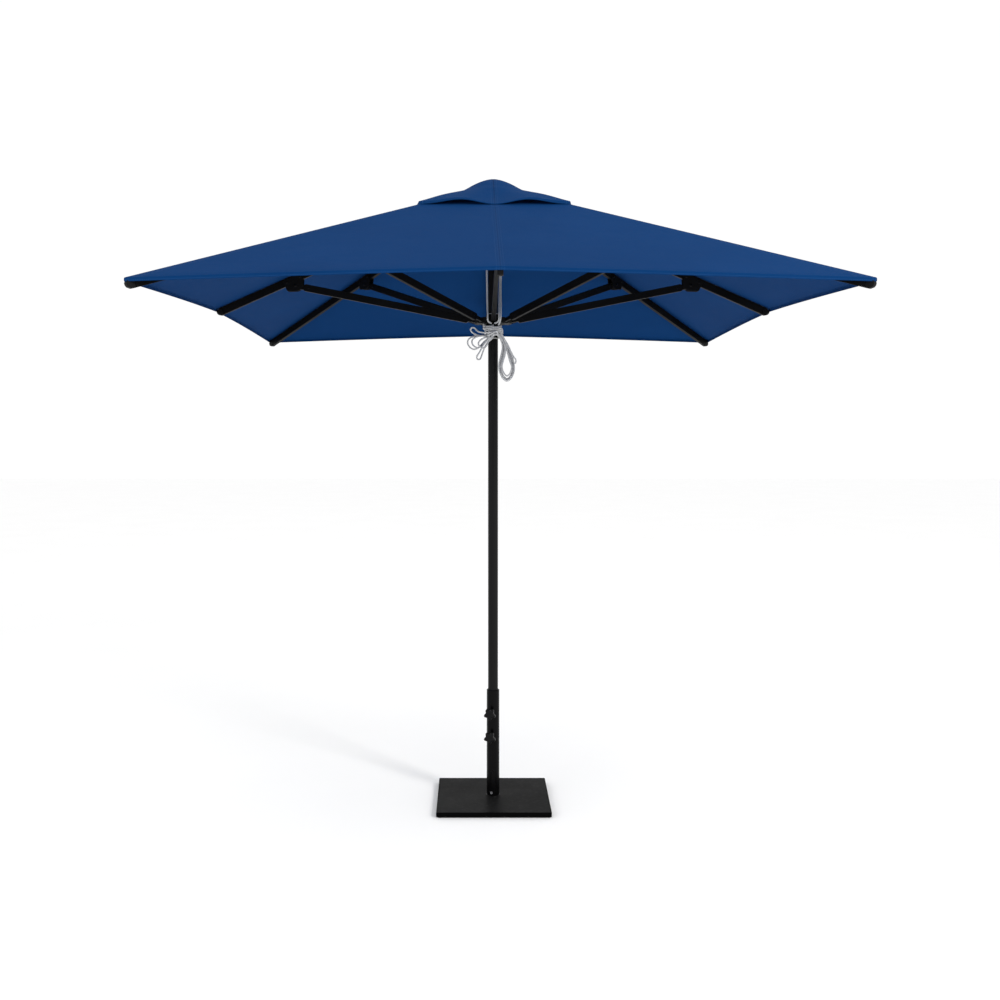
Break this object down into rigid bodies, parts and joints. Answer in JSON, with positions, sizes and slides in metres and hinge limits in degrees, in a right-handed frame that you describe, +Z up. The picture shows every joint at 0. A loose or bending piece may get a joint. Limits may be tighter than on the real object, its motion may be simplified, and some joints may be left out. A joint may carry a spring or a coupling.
{
  "type": "patio umbrella with base",
  "caption": "Square market umbrella with a vented fabric canopy, pulley rope and folding ribs, on a pole clamped in the sleeve of a flat plate base.",
  "frame": {"origin": "on the ground under the middle of the base plate, on the pole's axis", "axes": "+Z up along the pole; the canopy's sides run along X and Y; -Y is the front, where the rope is tied, and +X is right"},
  "size_m": [2.5128, 2.5128, 2.8068],
  "materials": {
    "plate": "satin",
    "mat": "matte",
    "stem": "satin",
    "liner": "matte",
    "screw": "satin",
    "pad": "satin",
    "knob": "satin",
    "pole": "satin",
    "frame": "satin",
    "fitting": "satin",
    "wire": "satin",
    "sheave": "satin",
    "bush": "satin",
    "canopy": "matte",
    "rope": "matte"
  },
  "bodies": {
    "base": {"base_plate": "plate", "base_mat": "mat", "stem_sleeve": "stem", "stem_spigot": "stem", "stem_liner": "liner", "stem_screw_upper": "screw", "stem_screw_lower": "screw"},
    "clamp_upper": {"clamp_pad_upper": "pad"},
    "knob_upper": {"clamp_knob_upper": "knob"},
    "clamp_lower": {"clamp_pad_lower": "pad"},
    "knob_lower": {"clamp_knob_lower": "knob"},
    "pole_foot": {"pole_foot_plug": "liner"},
    "pole": {"pole_tube": "pole", "top_hub": "frame", "hub_ring_wire": "wire", "pulley_head": "frame", "rope_lead_block": "fitting", "crown_cap": "fitting", "vent_cap": "canopy", "rope_over_pulleys": "rope", "rope_left": "rope", "rope_right": "rope", "rope_standing": "rope"},
    "sheave_left": {"sheave_left": "sheave"},
    "sheave_right": {"sheave_right": "sheave"},
    "runner": {"runner": "fitting", "runner_bush": "bush", "rope_tie": "rope"},
    "rib_right": {"rib_right": "frame", "bracket_right": "fitting", "canopy_right": "canopy"},
    "strut_right": {"strut_right": "frame"},
    "rib_back_right": {"rib_back_right": "frame", "bracket_back_right": "fitting", "canopy_back_right": "canopy"},
    "strut_back_right": {"strut_back_right": "frame"},
    "rib_back": {"rib_back": "frame", "bracket_back": "fitting", "canopy_back": "canopy"},
    "strut_back": {"strut_back": "frame"},
    "rib_back_left": {"rib_back_left": "frame", "bracket_back_left": "fitting", "canopy_back_left": "canopy"},
    "strut_back_left": {"strut_back_left": "frame"},
    "rib_left": {"rib_left": "frame", "bracket_left": "fitting", "canopy_left": "canopy"},
    "strut_left": {"strut_left": "frame"},
    "rib_front_left": {"rib_front_left": "frame", "bracket_front_left": "fitting", "canopy_front_left": "canopy"},
    "strut_front_left": {"strut_front_left": "frame"},
    "rib_front": {"rib_front": "frame", "bracket_front": "fitting", "canopy_front": "canopy"},
    "strut_front": {"strut_front": "frame"},
    "rib_front_right": {"rib_front_right": "frame", "bracket_front_right": "fitting", "canopy_front_right": "canopy"},
    "strut_front_right": {"strut_front_right": "frame"}
  },
  "joints": [
    {"name": "pole_lift", "type": "slide", "parent": "base", "child": "pole_foot", "axis": [0, 0, 1], "range_m": [0, 0.345]},
    {"name": "pole_swivel", "type": "hinge", "parent": "pole_foot", "child": "pole", "pos_m": [0, 0, 0.3], "axis": [0, 0, 1], "continuous": true},
    {"name": "runner_slide", "type": "slide", "parent": "pole", "child": "runner", "axis": [0, 0, 1], "range_m": [-1.19361, 0], "deforming": ["vent_cap", "rope_left", "rope_right", "rope_standing", "rope_tie"]},
    {"name": "rib_hinge_right", "type": "hinge", "parent": "pole", "child": "rib_right", "pos_m": [0.052, 0, 2.734], "axis": [0, 1, 0], "range_deg": [0, 60.16], "deforming": ["canopy_right"]},
    {"name": "strut_hinge_right", "type": "hinge", "parent": "rib_right", "child": "strut_right", "pos_m": [0.89278, 0, 2.32638], "axis": [0, 1, 0], "range_deg": [-136.32, 0]},
    {"name": "rib_hinge_back_right", "type": "hinge", "parent": "pole", "child": "rib_back_right", "pos_m": [0.03677, 0.03677, 2.734], "axis": [-0.7071, 0.7071, 0], "range_deg": [0, 65.65], "deforming": ["canopy_back_right"]},
    {"name": "strut_hinge_back_right", "type": "hinge", "parent": "rib_back_right", "child": "strut_back_right", "pos_m": [0.63633, 0.63633, 2.41821], "axis": [-0.7071, 0.7071, 0], "range_deg": [-136.18, 0]},
    {"name": "rib_hinge_back", "type": "hinge", "parent": "pole", "child": "rib_back", "pos_m": [0, 0.052, 2.734], "axis": [-1, 0, 0], "range_deg": [0, 60.16], "deforming": ["canopy_back"]},
    {"name": "strut_hinge_back", "type": "hinge", "parent": "rib_back", "child": "strut_back", "pos_m": [0, 0.89278, 2.32638], "axis": [-1, 0, 0], "range_deg": [-136.32, 0]},
    {"name": "rib_hinge_back_left", "type": "hinge", "parent": "pole", "child": "rib_back_left", "pos_m": [-0.03677, 0.03677, 2.734], "axis": [-0.7071, -0.7071, 0], "range_deg": [0, 65.65], "deforming": ["canopy_back_left"]},
    {"name": "strut_hinge_back_left", "type": "hinge", "parent": "rib_back_left", "child": "strut_back_left", "pos_m": [-0.63633, 0.63633, 2.41821], "axis": [-0.7071, -0.7071, 0], "range_deg": [-136.18, 0]},
    {"name": "rib_hinge_left", "type": "hinge", "parent": "pole", "child": "rib_left", "pos_m": [-0.052, 0, 2.734], "axis": [0, -1, 0], "range_deg": [0, 60.16], "deforming": ["canopy_left"]},
    {"name": "strut_hinge_left", "type": "hinge", "parent": "rib_left", "child": "strut_left", "pos_m": [-0.89278, 0, 2.32638], "axis": [0, -1, 0], "range_deg": [-136.32, 0]},
    {"name": "rib_hinge_front_left", "type": "hinge", "parent": "pole", "child": "rib_front_left", "pos_m": [-0.03677, -0.03677, 2.734], "axis": [0.7071, -0.7071, 0], "range_deg": [0, 65.65], "deforming": ["canopy_front_left"]},
    {"name": "strut_hinge_front_left", "type": "hinge", "parent": "rib_front_left", "child": "strut_front_left", "pos_m": [-0.63633, -0.63633, 2.41821], "axis": [0.7071, -0.7071, 0], "range_deg": [-136.18, 0]},
    {"name": "rib_hinge_front", "type": "hinge", "parent": "pole", "child": "rib_front", "pos_m": [0, -0.052, 2.734], "axis": [1, 0, 0], "range_deg": [0, 60.16], "deforming": ["canopy_front"]},
    {"name": "strut_hinge_front", "type": "hinge", "parent": "rib_front", "child": "strut_front", "pos_m": [0, -0.89278, 2.32638], "axis": [1, 0, 0], "range_deg": [-136.32, 0]},
    {"name": "rib_hinge_front_right", "type": "hinge", "parent": "pole", "child": "rib_front_right", "pos_m": [0.03677, -0.03677, 2.734], "axis": [0.7071, 0.7071, 0], "range_deg": [0, 65.65], "deforming": ["canopy_front_right"]},
    {"name": "strut_hinge_front_right", "type": "hinge", "parent": "rib_front_right", "child": "strut_front_right", "pos_m": [0.63633, -0.63633, 2.41821], "axis": [0.7071, 0.7071, 0], "range_deg": [-136.18, 0]},
    {"name": "sheave_spin_left", "type": "hinge", "parent": "pole", "child": "sheave_left", "pos_m": [-0.016, 0, 2.768], "axis": [0, 1, 0], "continuous": true},
    {"name": "sheave_spin_right", "type": "hinge", "parent": "pole", "child": "sheave_right", "pos_m": [0.016, 0, 2.768], "axis": [0, 1, 0], "continuous": true},
    {"name": "clamp_slide_upper", "type": "slide", "parent": "base", "child": "clamp_upper", "axis": [-0.2588, -0.9659, 0], "range_m": [0, 0.003]},
    {"name": "knob_turn_upper", "type": "hinge", "parent": "clamp_upper", "child": "knob_upper", "pos_m": [-0.00893, -0.03332, 0.402], "axis": [-0.2588, -0.9659, 0], "range_deg": [0, 719.9]},
    {"name": "clamp_slide_lower", "type": "slide", "parent": "base", "child": "clamp_lower", "axis": [-0.2588, -0.9659, 0], "range_m": [0, 0.003]},
    {"name": "knob_turn_lower", "type": "hinge", "parent": "clamp_lower", "child": "knob_lower", "pos_m": [-0.00893, -0.03332, 0.297], "axis": [-0.2588, -0.9659, 0], "range_deg": [0, 719.9]}
  ],
  "couplings": [
    {"joint": "rib_hinge_right", "follows": "runner_slide", "rad_per_m": -0.87932},
    {"joint": "strut_hinge_right", "follows": "runner_slide", "rad_per_m": 1.993},
    {"joint": "rib_hinge_back_right", "follows": "runner_slide", "rad_per_m": -0.9597},
    {"joint": "strut_hinge_back_right", "follows": "runner_slide", "rad_per_m": 1.991},
    {"joint": "rib_hinge_back", "follows": "runner_slide", "rad_per_m": -0.87932},
    {"joint": "strut_hinge_back", "follows": "runner_slide", "rad_per_m": 1.993},
    {"joint": "rib_hinge_back_left", "follows": "runner_slide", "rad_per_m": -0.9597},
    {"joint": "strut_hinge_back_left", "follows": "runner_slide", "rad_per_m": 1.991},
    {"joint": "rib_hinge_left", "follows": "runner_slide", "rad_per_m": -0.87932},
    {"joint": "strut_hinge_left", "follows": "runner_slide", "rad_per_m": 1.993},
    {"joint": "rib_hinge_front_left", "follows": "runner_slide", "rad_per_m": -0.9597},
    {"joint": "strut_hinge_front_left", "follows": "runner_slide", "rad_per_m": 1.991},
    {"joint": "rib_hinge_front", "follows": "runner_slide", "rad_per_m": -0.87932},
    {"joint": "strut_hinge_front", "follows": "runner_slide", "rad_per_m": 1.993},
    {"joint": "rib_hinge_front_right", "follows": "runner_slide", "rad_per_m": -0.9597},
    {"joint": "strut_hinge_front_right", "follows": "runner_slide", "rad_per_m": 1.991},
    {"joint": "clamp_slide_upper", "follows": "knob_turn_upper", "m_per_rad": 0.00023873},
    {"joint": "clamp_slide_lower", "follows": "knob_turn_lower", "m_per_rad": 0.00023873}
  ]
}
